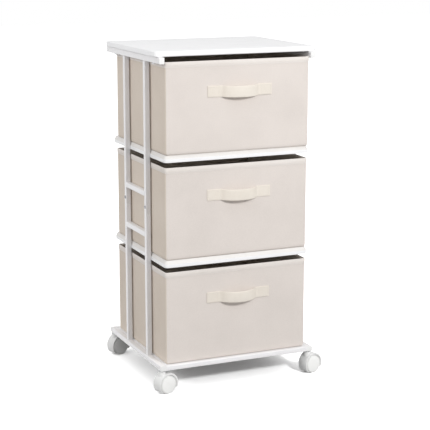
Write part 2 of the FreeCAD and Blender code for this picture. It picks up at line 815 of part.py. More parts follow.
def make_caster_fixings():
    """The flanged bush in each rail, and the threaded stem with its collar."""
    bush = new_body("caster_bush")
    profile = new_sketch(bush, "caster_bush_profile", "XZ")
    bore = "(stem_radius + thread_clear)"
    height = "(rail_flat - rail_wall - bush_head_room)"
    draw_outline(profile, [
        (bore, "-bush_flange"),
        ("bush_flange_radius", "-bush_flange"),
        ("bush_flange_radius", "0"),
        ("bush_radius", "0"),
        ("bush_radius", height),
        (bore, height),
    ])
    revolve(bush, profile)
    copies("caster_bushes", bush, [(x, y, "base_height") for x, y in caster_spots().values()])
    stem = new_body("caster_stem")
    profile = new_sketch(stem, "caster_stem_profile", "XZ")
    draw_outline(profile, [
        ("0", "-(collar_thick + hood_gap + stem_reach)"),
        ("stem_radius", "-(collar_thick + hood_gap + stem_reach)"),
        ("stem_radius", "-collar_thick"),
        ("collar_radius", "-collar_thick"),
        ("collar_radius", "0"),
        ("stem_radius", "0"),
        ("stem_radius", f"(bush_flange + {height} - stem_thread_gap)"),
        ("0", f"(bush_flange + {height} - stem_thread_gap)"),
    ])
    revolve(stem, profile)
    seat = "(base_height - bush_flange)"
    copies("caster_stems", stem, [(x, y, seat) for x, y in caster_spots().values()])


def around_axle(radius, angle):
    """A point at a radius from the axle, at an angle above the way that the wheel trails."""
    return f"(trail + {radius} * cos({angle}))", f"(wheel_radius + {radius} * sin({angle}))"


def hood_outline():
    """The hood from the side: from its back lip over the top and down to its front lip."""
    front_sweep = f"(({FRONT_ROUND} ^ 2 + {BACK_ROUND} ^ 2) / (2 * {BACK_ROUND}))"
    return [
        (*around_axle(BACK_ROUND, "(-hood_back_angle)"), BACK_ROUND, 1),
        (*around_axle(BACK_ROUND, "(90)"), front_sweep, 1),
        (*around_axle(FRONT_ROUND, "(180)"), FRONT_ROUND, 1),
        around_axle(FRONT_ROUND, "(180 + hood_front_angle)"),
    ]


def make_hood(name, x, y):
    """A fender with a neck for the stem, hollowed for both treads beside the web that holds the axle."""
    body = new_body(name)
    fender = new_sketch(body, f"{name}_fender", "XZ")
    draw_outline(fender, hood_outline())
    pad(body, fender, "hood_width", symmetric=True)
    neck = new_sketch(body, f"{name}_neck", "XY", "wheel_radius")
    draw_circle(neck, "0", "0", "neck_radius")
    pad(body, neck, f"({HOOD_TOP} - wheel_radius)")
    for number, sign in enumerate((-1, 1), start=1):
        room = new_sketch(body, f"{name}_tread_room_{number}", "XZ", signed(sign, "(spine_thick / 2)"))
        draw_circle(room, "trail", "wheel_radius", TREAD_ROOM)
        pocket(body, room, "hood_width", forwards=sign > 0)
    stem_bore = new_sketch(body, f"{name}_stem_bore", "XY", HOOD_TOP)
    draw_circle(stem_bore, "0", "0", "(stem_radius + stem_clear)")
    pocket(body, stem_bore, "(stem_reach + stem_end_gap)")
    axle_bore = new_sketch(body, f"{name}_axle_bore", "XZ")
    draw_circle(axle_bore, "trail", "wheel_radius", "(axle_radius + axle_clear)")
    through(body, axle_bore)
    keep(place(body, x, y, turn="caster_yaw"), name)


def make_wheel(name, x, y, turn):
    """A wheel about its own axle, with its domed cap towards +Y before it is turned."""
    body = new_body(name)
    profile = new_sketch(body, f"{name}_profile", "XY")
    shoulder = f"({WHEEL_OUTER} - wheel_dome)"
    groove_outer = "(wheel_radius - cap_groove_inset)"
    groove_inner = f"({groove_outer} - cap_groove_width)"
    dome = f"(({groove_inner} ^ 2 + wheel_dome ^ 2) / (2 * wheel_dome))"
    bore = "(axle_radius + axle_clear)"
    draw_outline(profile, [
        (bore, WHEEL_INNER),
        ("(wheel_radius - wheel_edge)", WHEEL_INNER, "wheel_edge", 1),
        ("wheel_radius", f"({WHEEL_INNER} + wheel_edge)"),
        ("wheel_radius", f"({shoulder} - wheel_edge)", "wheel_edge", 1),
        ("(wheel_radius - wheel_edge)", shoulder),
        (groove_outer, shoulder),
        (groove_outer, f"({shoulder} - cap_groove_depth)"),
        (groove_inner, f"({shoulder} - cap_groove_depth)"),
        (groove_inner, shoulder, dome, 1),
        ("0", WHEEL_OUTER),
        ("0", BORE_END),
        (bore, BORE_END),
    ])
    revolve(body, profile)
    centre_x = f"({x} + trail * cos(caster_yaw))"
    centre_y = f"({y} + trail * sin(caster_yaw))"
    keep(place(body, centre_x, centre_y, "wheel_radius", turn), name)


def make_casters():
    make_caster_fixings()
    for spot, (x, y) in caster_spots().items():
        make_hood(f"caster_{spot}_hood", x, y)
        axle = new_body(f"caster_{spot}_axle")
        section = new_sketch(axle, f"caster_{spot}_axle_section", "XZ")
        draw_circle(section, "trail", "wheel_radius", "axle_radius")
        pad(axle, section, f"(2 * ({BORE_END} - axle_end_gap))", symmetric=True)
        keep(place(axle, x, y, turn="caster_yaw"), f"caster_{spot}_axle")
        make_wheel(f"caster_{spot}_wheel_near", x, y, "(caster_yaw + 180)")
        make_wheel(f"caster_{spot}_wheel_far", x, y, "caster_yaw")


def report_faults():
    """Names of objects that failed, and of pieces with no sound shape."""
    faults = [o.Name for o in doc.Objects if {"Invalid", "Error"} & set(o.State)]
    for piece in PIECES:
        if piece.Shape.isNull() or not piece.Shape.isValid() or not piece.Shape.Solids:
            faults.append(piece.Label)
    return faults


make_top_board()
make_top_rails()
make_rail_end_caps()
make_posts()
make_rungs()
make_splices()
make_shelves()
make_base()
make_deck()
make_corner_plates()
make_wood_screws()
make_drawers()
make_casters()
doc.recompute()

faults = report_faults()
if faults:
    raise RuntimeError(f"These did not build: {faults}")

os.makedirs("parts", exist_ok=True)
for piece in PIECES:
    piece.Shape.exportStep(f"parts/{piece.Label}.step")
    box = piece.Shape.BoundBox
    print(f"{piece.Label}: {len(piece.Shape.Solids)} solid(s), "
          f"x {box.XMin:.1f} to {box.XMax:.1f}, y {box.YMin:.1f} to {box.YMax:.1f}, "
          f"z {box.ZMin:.1f} to {box.ZMax:.1f}, volume {piece.Shape.Volume:.0f}")
print(f"{len(PIECES)} nodes")
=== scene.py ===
# %% [markdown]
# # A drawer cart on casters
# The cart is a white tube frame with a board top, three cloth drawers and four twin-wheel casters.
# Its hard parts come as a fixed frame of finished solids, each at its real place and size.
# This notebook gives those solids their finishes, and models the soft pieces and the moulded casters
# around them in metres, in the same frame: +X to the right, -Y out of the drawers' fronts, +Z up.

# %% Loading the frame
import json
import math

import bmesh
import bpy
from mathutils import Matrix, Vector, noise


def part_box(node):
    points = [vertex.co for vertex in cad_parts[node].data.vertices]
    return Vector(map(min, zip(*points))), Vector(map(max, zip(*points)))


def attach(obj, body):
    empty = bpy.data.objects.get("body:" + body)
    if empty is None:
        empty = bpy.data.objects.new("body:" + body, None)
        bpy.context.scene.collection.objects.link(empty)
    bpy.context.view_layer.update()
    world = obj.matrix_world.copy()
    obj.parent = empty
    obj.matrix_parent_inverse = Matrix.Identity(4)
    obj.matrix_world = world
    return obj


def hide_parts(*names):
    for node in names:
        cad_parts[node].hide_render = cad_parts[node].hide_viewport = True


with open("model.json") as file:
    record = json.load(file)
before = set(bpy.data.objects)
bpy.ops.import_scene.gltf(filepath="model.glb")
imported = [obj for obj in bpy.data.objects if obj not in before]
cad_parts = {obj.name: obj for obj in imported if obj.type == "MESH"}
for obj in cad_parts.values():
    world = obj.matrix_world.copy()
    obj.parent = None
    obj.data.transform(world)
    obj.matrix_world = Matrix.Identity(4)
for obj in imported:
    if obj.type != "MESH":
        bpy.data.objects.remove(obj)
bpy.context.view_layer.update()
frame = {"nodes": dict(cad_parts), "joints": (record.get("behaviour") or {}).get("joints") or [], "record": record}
nodes = frame["nodes"]
MM = 0.001
LEVELS = ("top", "middle", "bottom")
SPOTS = [f"{end}_{side}" for end in ("front", "rear") for side in ("left", "right")]
print("solids loaded:", len(nodes))

# %% [markdown]
# The camera stands to the left of the cart, a little above its top, and looks down by some 12 degrees.
# Its place was worked out from the cart's own corners in the photograph. The lens is long, so the
# upright edges stay nearly parallel.

# %% The camera
IMAGE_PIXELS = 430
FOCAL_PIXELS = 1325.2
SENSOR = 36.0
CAMERA_PLACE = Vector((-1.2622, -2.9004, 1.0509))
CAMERA_AZIMUTH = -23.792
CAMERA_ELEVATION = 12.022
SEEN_TO = 50


def make_camera():
    data = bpy.data.cameras.new("camera")
    data.sensor_width = SENSOR
    data.lens = SENSOR * FOCAL_PIXELS / IMAGE_PIXELS
    data.clip_end = SEEN_TO
    camera = bpy.data.objects.new("camera", data)
    camera.location = CAMERA_PLACE
    camera.rotation_euler = (math.radians(90 - CAMERA_ELEVATION), 0, math.radians(CAMERA_AZIMUTH))
    bpy.context.scene.collection.objects.link(camera)
    bpy.context.scene.camera = camera
    print("lens in mm:", round(data.lens, 1))


make_camera()

# %% [markdown]
# Finishes that share an effect take it from a node group: a small recipe with named inputs and outputs
# that is built once and placed in each material with its own values. The groups here put out only
# numbers that change over the surface. The weave works on the cloth's own UV map, in metres, so that its
# threads run along each panel. The speckle and the ripple work on object coordinates.

# %% Helpers for node groups
def new_group(name, inputs, outputs):
    group = bpy.data.node_groups.new(name, "ShaderNodeTree")
    for label, kind, value in inputs:
        socket = group.interface.new_socket(name=label, in_out="INPUT", socket_type=kind)
        if value is not None:
            socket.default_value = value
    for label, kind in outputs:
        group.interface.new_socket(name=label, in_out="OUTPUT", socket_type=kind)
    start = group.nodes.new("NodeGroupInput")
    end = group.nodes.new("NodeGroupOutput")
    return group, start, end


def add(tree, kind, **settings):
    """A node with its settings; a name that is not a setting is one of its input sockets."""
    node = tree.nodes.new(kind)
    for label, value in settings.items():
        if hasattr(node, label):
            setattr(node, label, value)
        else:
            node.inputs[label.replace("_", " ")].default_value = value
    return node


def calculate(tree, operation, first, second=None):
    """One step of arithmetic on a socket and a socket or number."""
    node = add(tree, "ShaderNodeMath", operation=operation)
    for socket, value in zip(node.inputs, (first, second)):
        if value is None:
            continue
        if isinstance(value, (int, float)):
            socket.default_value = value
        else:
            tree.links.new(value, socket)
    return node.outputs[0]


# %% The shared groups
FLOAT = "NodeSocketFloat"
VECTOR = "NodeSocketVector"
FINE_SHARE = 0.35


def speckle_group():
    """Fine and coarse noise in one value about a half, for mottling and faint dust."""
    group, start, end = new_group(
        "speckle", [("Vector", VECTOR, None), ("Scale", FLOAT, 20.0), ("Fineness", FLOAT, 8.0)],
        [("Value", FLOAT)])
    links = group.links
    coarse = add(group, "ShaderNodeTexNoise", Detail=3.0, Roughness=0.55)
    fine = add(group, "ShaderNodeTexNoise", Detail=2.0, Roughness=0.6)
    links.new(start.outputs["Vector"], coarse.inputs["Vector"])
    links.new(start.outputs["Vector"], fine.inputs["Vector"])
    links.new(start.outputs["Scale"], coarse.inputs["Scale"])
    fine_scale = calculate(group, "MULTIPLY", start.outputs["Scale"], start.outputs["Fineness"])
    links.new(fine_scale, fine.inputs["Scale"])
    fine_part = calculate(group, "MULTIPLY", fine.outputs["Fac"], FINE_SHARE)
    coarse_part = calculate(group, "MULTIPLY", coarse.outputs["Fac"], 1 - FINE_SHARE)
    links.new(calculate(group, "ADD", fine_part, coarse_part), end.inputs["Value"])
    return group


def weave_group():
    """Crossing threads from a UV map in metres: a height, and painted shade for the gaps between threads."""
    group, start, end = new_group(
        "weave", [("Vector", VECTOR, None), ("Pitch", FLOAT, 1.0 * MM), ("Unevenness", FLOAT, 0.4)],
        [("Height", FLOAT), ("Painted Gap Shade", FLOAT)])
    links = group.links
    wobble = add(group, "ShaderNodeTexNoise", Scale=260.0, Detail=2.0)
    links.new(start.outputs["Vector"], wobble.inputs["Vector"])
    split = add(group, "ShaderNodeSeparateXYZ")
    links.new(start.outputs["Vector"], split.inputs[0])
    drift = calculate(group, "MULTIPLY", wobble.outputs["Fac"], start.outputs["Unevenness"])
    threads = []
    for axis in ("X", "Y"):
        turns = calculate(group, "DIVIDE", split.outputs[axis], start.outputs["Pitch"])
        shifted = calculate(group, "ADD", turns, drift)
        angle = calculate(group, "MULTIPLY", shifted, 2 * math.pi)
        threads.append(calculate(group, "SINE", angle))
    crossing = calculate(group, "MULTIPLY", threads[0], threads[1])
    half = calculate(group, "MULTIPLY", crossing, 0.5)
    links.new(calculate(group, "ADD", half, wobble.outputs["Fac"]), end.inputs["Height"])
    links.new(calculate(group, "ADD", half, 0.5), end.inputs["Painted Gap Shade"])
    return group


def ripple_group():
    """The slight waviness of sprayed paint, melted powder and moulded plastic."""
    group, start, end = new_group(
        "ripple", [("Vector", VECTOR, None), ("Scale", FLOAT, 350.0)], [("Height", FLOAT)])
    waves = add(group, "ShaderNodeTexNoise", Detail=2.0, Roughness=0.45)
    group.links.new(start.outputs["Vector"], waves.inputs["Vector"])
    group.links.new(start.outputs["Scale"], waves.inputs["Scale"])
    group.links.new(waves.outputs["Fac"], end.inputs["Height"])
    return group


SPECKLE = speckle_group()
WEAVE = weave_group()
RIPPLE = ripple_group()
print("shared groups:", [g.name for g in (SPECKLE, WEAVE, RIPPLE)])

# %% [markdown]
# A material starts from a Principled shader. Its constants sit on the shader's own sockets. Its colour
# runs between two close tones by the speckle, and its roughness by the same speckle in a narrow band.

# %% The body of a material
def new_material(name, roughness, **constants):
    material = bpy.data.materials.new(name)
    material.use_nodes = True
    tree = material.node_tree
    shader = tree.nodes["Principled BSDF"]
    shader.inputs["Roughness"].default_value = roughness
    for label, value in constants.items():
        shader.inputs[label.replace("_", " ")].default_value = value
    return material, tree, shader


def place_group(tree, group, vector, **values):
    node = tree.nodes.new("ShaderNodeGroup")
    node.node_tree = group
    for label, value in values.items():
        node.inputs[label].default_value = value
    tree.links.new(vector, node.inputs["Vector"])
    return node


def tones(tree, shader, value, dark, light, low=0.35, high=0.65):
    """Base colour between two tones by a value."""
    band = add(tree, "ShaderNodeMapRange")
    band.inputs["From Min"].default_value = low
    band.inputs["From Max"].default_value = high
    tree.links.new(value, band.inputs["Value"])
    mix = add(tree, "ShaderNodeMix", data_type="RGBA")
    mix.inputs["A"].default_value = (*dark, 1)
    mix.inputs["B"].default_value = (*light, 1)
    tree.links.new(band.outputs["Result"], mix.inputs["Factor"])
    mixed = [s for s in mix.outputs if s.type == "RGBA"][0]
    tree.links.new(mixed, shader.inputs["Base Color"])


def roughness_band(tree, shader, value, low, high):
    """Roughness from low to high by a value."""
    band = add(tree, "ShaderNodeMapRange")
    band.inputs["To Min"].default_value = low
    band.inputs["To Max"].default_value = high
    tree.links.new(value, band.inputs["Value"])
    tree.links.new(band.outputs["Result"], shader.inputs["Roughness"])


def bump(tree, shader, height, strength, distance):
    node = add(tree, "ShaderNodeBump", Strength=strength, Distance=distance)
    tree.links.new(height, node.inputs["Height"])
    tree.links.new(node.outputs["Normal"], shader.inputs["Normal"])


def srgb(red, green, blue):
    """A colour as a screen shows it, in the linear values that shaders use."""
    def linear(channel):
        share = channel / 255
        return share / 12.92 if share <= 0.04045 else ((share + 0.055) / 1.055) ** 2.4
    return tuple(linear(c) for c in (red, green, blue))


# %% [markdown]
# Hard finishes. The frame is powder-coated steel: white, satin, with the faint orange peel of melted
# powder. The panels are white laminate, flatter and a little smoother. The casters and end caps are
# moulded plastic. The fixings are zinc-plated steel.

# %% Hard finishes
def hard_finish(name, dark, light, roughness, ripple, scale=22.0, **constants):
    """A smooth, hard surface in two close tones, with ripple as (scale, strength, depth in metres)."""
    material, tree, shader = new_material(name, roughness[0], **constants)
    place = add(tree, "ShaderNodeTexCoord").outputs["Object"]
    speckle = place_group(tree, SPECKLE, place, Scale=scale)
    tones(tree, shader, speckle.outputs["Value"], dark, light)
    roughness_band(tree, shader, speckle.outputs["Value"], *roughness)
    waves = place_group(tree, RIPPLE, place, Scale=ripple[0])
    bump(tree, shader, waves.outputs["Height"], ripple[1], ripple[2])
    return material


PAINT = hard_finish("powder coat", srgb(234, 233, 234), srgb(239, 238, 239), (0.36, 0.46),
                    (420.0, 0.25, 0.15 * MM))
LAMINATE = hard_finish("white laminate", srgb(237, 237, 238), srgb(242, 242, 243), (0.42, 0.55),
                       (900.0, 0.12, 0.08 * MM))
# The shelves' upward faces take this greyer tone: painted shade from the drawers standing on them.
SHADED_SHELF_TOP = hard_finish("shelf top with painted shade", srgb(222, 219, 216), srgb(227, 224, 221), (0.5, 0.6),
                        (900.0, 0.12, 0.08 * MM))
RAW_BOARD = hard_finish("raw board", srgb(112, 110, 108), srgb(134, 132, 130), (0.7, 0.85),
                        (600.0, 0.3, 0.15 * MM), scale=90.0)
CAP_PLASTIC = hard_finish("white cap plastic", srgb(232, 232, 231), srgb(238, 238, 237), (0.45, 0.55),
                          (700.0, 0.15, 0.08 * MM))
WHEEL_PLASTIC = hard_finish("wheel plastic", srgb(240, 240, 238), srgb(245, 245, 243), (0.24, 0.34),
                            (260.0, 0.10, 0.1 * MM), Coat_Weight=0.15, Coat_Roughness=0.15)
HOOD_PLASTIC = hard_finish("hood plastic", srgb(227, 227, 226), srgb(233, 233, 232), (0.3, 0.42),
                           (300.0, 0.12, 0.1 * MM))
ZINC = hard_finish("zinc plate", srgb(150, 152, 156), srgb(188, 190, 193), (0.3, 0.5),
                   (500.0, 0.3, 0.1 * MM), scale=120.0, Metallic=1.0)
BOLT_STEEL = hard_finish("bolt steel", srgb(120, 121, 124), srgb(160, 161, 164), (0.32, 0.5),
                         (500.0, 0.3, 0.1 * MM), scale=150.0, Metallic=0.9)
print("hard finishes ready")

# %% [markdown]
# Cloth. The drawers are a light beige cloth whose colour mottles a little, and the straps a creamier,
# coarser one. Both have crossing threads in their bump, and a soft sheen. The lining is a darker beige.

# %% Cloth finishes
PAINTED_GAP_SHADE = 0.12


def cloth_finish(name, dark, light, pitch, depth, sheen, scale=9.0):
    """Woven cloth in two close tones, with the threads' pitch and depth in metres."""
    material, tree, shader = new_material(name, 0.92, Sheen_Weight=sheen, Sheen_Roughness=0.5,
                                          Specular_IOR_Level=0.25)
    place = add(tree, "ShaderNodeTexCoord")
    speckle = place_group(tree, SPECKLE, place.outputs["Object"], Scale=scale, Fineness=40.0)
    threads = place_group(tree, WEAVE, place.outputs["UV"], Pitch=pitch)
    # The gaps between threads are darkened in colour: painted shade.
    shade = calculate(tree, "MULTIPLY", threads.outputs["Painted Gap Shade"], PAINTED_GAP_SHADE)
    tone = calculate(tree, "ADD", speckle.outputs["Value"], shade)
    tones(tree, shader, tone, dark, light, low=0.38, high=0.74)
    roughness_band(tree, shader, speckle.outputs["Value"], 0.86, 0.96)
    bump(tree, shader, threads.outputs["Height"], 0.5, depth)
    return material


FRONT_CLOTH = cloth_finish("front cloth", srgb(216, 208, 202), srgb(225, 217, 211), 1.1 * MM, 0.12 * MM, 0.05)
# Below the hem, the faces that do not face the front take a darker, yellower beige than the front: painted shade
# for the light that the sides lose.
SHADED_SIDE_CLOTH = cloth_finish("side cloth with painted shade", srgb(213, 201, 188), srgb(221, 210, 198), 1.1 * MM, 0.12 * MM, 0.05)
# The hem takes a lighter tone than the walls: painted light on the rim's band, making up for the shade under the
# board above.
LIT_HEM_CLOTH = cloth_finish("hem cloth with painted light", srgb(225, 218, 212), srgb(232, 226, 221), 1.1 * MM, 0.12 * MM, 0.05)
STRAP_CLOTH = cloth_finish("strap cloth", srgb(225, 217, 206), srgb(233, 226, 216), 1.6 * MM,
                           0.2 * MM, 0.05, scale=14.0)
LINING_CLOTH = cloth_finish("lining cloth", srgb(205, 194, 182), srgb(214, 204, 193), 1.2 * MM, 0.1 * MM,
                            0.03)
THREAD = cloth_finish("sewing thread", srgb(219, 211, 203), srgb(230, 223, 216), 0.5 * MM, 0.05 * MM, 0.1)
print("cloth finishes ready")

# %% [markdown]
# Each solid of the frame keeps its shape and gets its finish: the record names a slot for every node,
# so the finishes go by slot.

# %% Finishes on the frame's own solids
SLOT_FINISH = {
    "frame_paint": PAINT,
    "white_panel": LAMINATE,
    "cap_plastic": CAP_PLASTIC,
    "zinc_steel": ZINC,
    "bolt_steel": BOLT_STEEL,
    "hood_plastic": HOOD_PLASTIC,
    "wheel_plastic": WHEEL_PLASTIC,
    "drawer_cloth": FRONT_CLOTH,
    "lining_board": LINING_CLOTH,
    "strap_cloth": STRAP_CLOTH,
}
slot_of = {row["node"]: row["material_slot"] for row in frame["record"]["subparts"]}
for name, solid in nodes.items():
    solid.data.materials.clear()
    solid.data.materials.append(SLOT_FINISH[slot_of[name]])

# %% [markdown]
# Pieces are finished the same way: a bmesh becomes an object at the origin, smooth where its faces meet
# gently, riding on its body and standing for the solids that it replaces.

# %% Helpers for pieces
def finish_piece(bm, name, materials, body, replaced=(), smooth_angle=40):
    mesh = bpy.data.meshes.new(name)
    bm.to_mesh(mesh)
    bm.free()
    for material in materials:
        mesh.materials.append(material)
    mesh.shade_smooth()
    mesh.set_sharp_from_angle(angle=math.radians(smooth_angle))
    piece = bpy.data.objects.new(name, mesh)
    bpy.context.scene.collection.objects.link(piece)
    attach(piece, body)
    if replaced:
        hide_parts(*replaced)
    return piece


def lay_uv(bm):
    """A UV map in metres, laid flat on each face along the axis that it faces most."""
    layer = bm.loops.layers.uv.new("cloth")
    for face in bm.faces:
        size = [abs(c) for c in face.normal]
        facing = size.index(max(size))
        across, along = [(1, 2), (0, 2), (0, 1)][facing]
        for corner in face.loops:
            corner[layer].uv = (corner.vert.co[across], corner.vert.co[along])


# %% [markdown]
# A drawer is a cloth box over stiff boards. It could be a cube with thickness, but its rim, hem and foot
# are what the eye reads, so its wall is drawn as one line of stations, each an offset and a height, and
# a rounded ring of edges is extruded from station to station. The same ring makes the lining.

# %% A wall drawn as rings
def rounded_ring(bm, half_x, half_y, corner, step):
    """A closed ring of edges with round corners; each vertex remembers its place on it."""
    spot = bm.verts.layers.int.new("spot")
    bmesh.ops.create_grid(bm, x_segments=1, y_segments=1, size=1.0)
    bmesh.ops.scale(bm, vec=(half_x, half_y, 1), verts=bm.verts[:])
    bmesh.ops.bevel(bm, geom=bm.verts[:], offset=corner, affect="VERTICES", segments=6, profile=0.5,
                    material=-1)
    bmesh.ops.delete(bm, geom=bm.faces[:], context="FACES_ONLY")
    for edge in [e for e in bm.edges if e.calc_length() > 2 * corner]:
        bmesh.ops.subdivide_edges(bm, edges=[edge], cuts=round(edge.calc_length() / step))
    bm.verts.index_update()
    base, outward = [], []
    for vertex in bm.verts:
        vertex[spot] = vertex.index
        inner = Vector((max(-half_x + corner, min(half_x - corner, vertex.co.x)),
                        max(-half_y + corner, min(half_y - corner, vertex.co.y)), 0))
        base.append(vertex.co.copy())
        outward.append((vertex.co - inner).normalized())
    return spot, base, outward


def extrude_ring(bm, edges):
    grown = bmesh.ops.extrude_edge_only(bm, edges=edges)["geom"]
    fresh = {item for item in grown if isinstance(item, bmesh.types.BMVert)}
    ring = [item for item in grown if isinstance(item, bmesh.types.BMEdge)
            and item.verts[0] in fresh and item.verts[1] in fresh]
    return fresh, ring


def draw_walls(bm, half_x, half_y, corner, centre, stations, step, lift=None):
    """Extrude a ring through stations (offset, height, share of the cloth's own unevenness)."""
    spot, base, outward = rounded_ring(bm, half_x, half_y, corner, step)
    fresh, ring = set(bm.verts), bm.edges[:]
    first = ring
    for number, (offset, height, unevenness) in enumerate(stations):
        if number:
            fresh, ring = extrude_ring(bm, ring)
        for vertex in fresh:
            index = vertex[spot]
            direction = outward[index]
            push = offset
            if lift:
                push += unevenness * lift(base[index], direction, height)
            vertex.co = centre + base[index] + direction * push + Vector((0, 0, height))
    return first, ring


def close_ring(bm, ring, material=0):
    for face in bmesh.ops.edgeloop_fill(bm, edges=ring)["faces"]:
        face.material_index = material


# %% [markdown]
# The cloth lies nearly flat on its boards, so its unevenness is small: long soft waves of about half a
# millimetre, a slight gather along the hem's seam, and a little more play towards the rim.

# %% The drawers' cloth
CLOTH_THICK = 1.5 * MM
HEM_FOLD = 1.2 * MM
HEM_HEIGHT = 12 * MM
DRAWER_CORNER = 6 * MM
CLOTH_STEP = 9 * MM
FRONT_FACING = 0.7
LONG_WAVE = 0.55 * MM
SHORT_WAVE = 0.14 * MM
GATHER = 0.12 * MM
GATHER_PITCH = 23 * MM
GATHER_REACH = 60 * MM


def cloth_lift(seed, height):
    """How far the cloth stands off its wall: waves, and a gather near the rim, but no lift at corners."""
    def lift(place, direction, z):
        around = place.x * direction.y - place.y * direction.x
        long_wave = noise.noise(Vector((around * 9, z * 11, seed))) * LONG_WAVE
        short_wave = noise.noise(Vector((around * 30, z * 26, seed + 7))) * SHORT_WAVE
        near_rim = max(0.0, 1 - (height - z) / GATHER_REACH)
        gather = math.sin(around * 2 * math.pi / GATHER_PITCH) * GATHER * near_rim
        flat_side = max(abs(direction.x), abs(direction.y)) ** 6
        return (long_wave + short_wave + gather) * flat_side
    return lift


def drawer_places(level):
    """Half width, half depth, centre and height of a drawer's walls, from its shell."""
    low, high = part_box(f"drawer_{level}_shell")
    half_x = (high.x - low.x) / 2 - HEM_FOLD
    half_y = (high.y - low.y) / 2 - HEM_FOLD
    centre = Vector(((low.x + high.x) / 2, (low.y + high.y) / 2, low.z))
    return half_x, half_y, centre, high.z - low.z


def shell_stations(height):
    """From the middle of the inner floor, up the inside, over the rim and hem, down to the foot."""
    rim = height
    hem = height - HEM_HEIGHT
    wall_top, wall_bottom = hem - 2.5 * MM, 10 * MM
    inside = [(-CLOTH_THICK, CLOTH_THICK, 0), (-CLOTH_THICK, hem - 4 * MM, 0),
              (-CLOTH_THICK - 0.1 * MM, hem - 3 * MM, 0), (-CLOTH_THICK - 0.1 * MM, rim - 2 * MM, 0.5),
              (-0.9 * MM, rim - 0.6 * MM, 1), (-0.2 * MM, rim, 1), (0.5 * MM, rim - 0.15 * MM, 1),
              (HEM_FOLD - 0.15 * MM, rim - 0.8 * MM, 1), (HEM_FOLD, rim - 2 * MM, 1),
              (HEM_FOLD, rim - 5.5 * MM, 1), (HEM_FOLD - 0.1 * MM, hem + 3.4 * MM, 1),
              (0.85 * MM, hem + 1.9 * MM, 1), (0.5 * MM, hem + 0.6 * MM, 1),
              (0.18 * MM, hem - 0.8 * MM, 1), (0, wall_top, 1)]
    steps = round((hem - 14 * MM) / CLOTH_STEP)
    wall = [(0, wall_top - (wall_top - wall_bottom) * i / steps, 1) for i in range(1, steps)]
    foot = [(0, 9 * MM, 0.6), (-0.15 * MM, 5 * MM, 0.3), (-0.8 * MM, 2.4 * MM, 0), (-2 * MM, 0.7 * MM, 0),
            (-3.6 * MM, 0.1 * MM, 0), (-6 * MM, 0, 0)]
    return inside + wall + foot


def make_drawer_cloth(level, seed):
    half_x, half_y, centre, height = drawer_places(level)
    bm = bmesh.new()
    first, last = draw_walls(bm, half_x, half_y, DRAWER_CORNER, centre, shell_stations(height), CLOTH_STEP,
                             cloth_lift(seed, height))
    close_ring(bm, first)
    close_ring(bm, last)
    bmesh.ops.recalc_face_normals(bm, faces=bm.faces[:])
    hem_line = centre.z + height - HEM_HEIGHT - 0.25 * MM
    # Faces above the hem line take the hem cloth, whose lighter tone is painted light.
    for face in bm.faces:
        if face.calc_center_median().z > hem_line:
            face.material_index = 2
        else:
            # Front-facing faces take the front cloth; all others take the side cloth, whose darker, yellower tone
            # is painted shade.
            face.material_index = 0 if face.normal.y < -FRONT_FACING else 1
    lay_uv(bm)
    piece = finish_piece(bm, f"drawer_{level}_cloth", (FRONT_CLOTH, SHADED_SIDE_CLOTH, LIT_HEM_CLOTH),
                         f"drawer_{level}", (f"drawer_{level}_shell",), smooth_angle=60)
    print(piece.name, "faces:", len(piece.data.polygons))


LINING_GAP = 0.15 * MM
LINING_THICK = 3.2 * MM
LINING_STEP = 30 * MM
LINING_BELOW_RIM = 3 * MM


def make_drawer_lining(level):
    """One skin over the wall boards and the floor board."""
    half_x, half_y, centre, height = drawer_places(level)
    outer = -CLOTH_THICK - LINING_GAP - 0.1 * MM
    inner = outer - LINING_THICK
    top = height - LINING_BELOW_RIM
    bottom = CLOTH_THICK + LINING_GAP
    stations = [(outer, bottom, 0), (outer, top - 0.8 * MM, 0), (outer - 0.4 * MM, top, 0),
                (inner + 0.4 * MM, top, 0), (inner, top - 0.8 * MM, 0), (inner, bottom + 4.4 * MM, 0),
                (inner - 1 * MM, bottom + 3.4 * MM, 0)]
    bm = bmesh.new()
    first, last = draw_walls(bm, half_x, half_y, DRAWER_CORNER, centre, stations, LINING_STEP)
    close_ring(bm, first)
    close_ring(bm, last)
    bmesh.ops.recalc_face_normals(bm, faces=bm.faces[:])
    lay_uv(bm)
    finish_piece(bm, f"drawer_{level}_lining", (LINING_CLOTH,), f"drawer_{level}",
                 (f"drawer_{level}_wall_boards", f"drawer_{level}_floor_board"))


for number, level in enumerate(LEVELS):
    make_drawer_cloth(level, 3.7 + 11.3 * number)
    make_drawer_lining(level)

# %% [markdown]
# The strap is webbing cut to about 172 mm: its ends are folded under and sewn flat, and the middle bows
# out to make room for fingers. A flat grid is laid along the bow's line, which is two bends each way,
# and then gets its thickness, a little less than the webbing's. Its edges are rolled by a bevel.

# %% The straps
STRAP_THICK = 2 * MM
STRAP_SEWN = 30 * MM
STRAP_BOW = 22 * MM
STRAP_ROOT_BEND = 9 * MM
STRAP_SLACK = 0.5 * MM
STRAP_CURL = 0.5 * MM
STRAP_DROOP = 0.7 * MM
STRAP_REST = 0.05 * MM
STRAP_TRIM = 0.35 * MM
STRAP_EDGE = 0.45 * MM


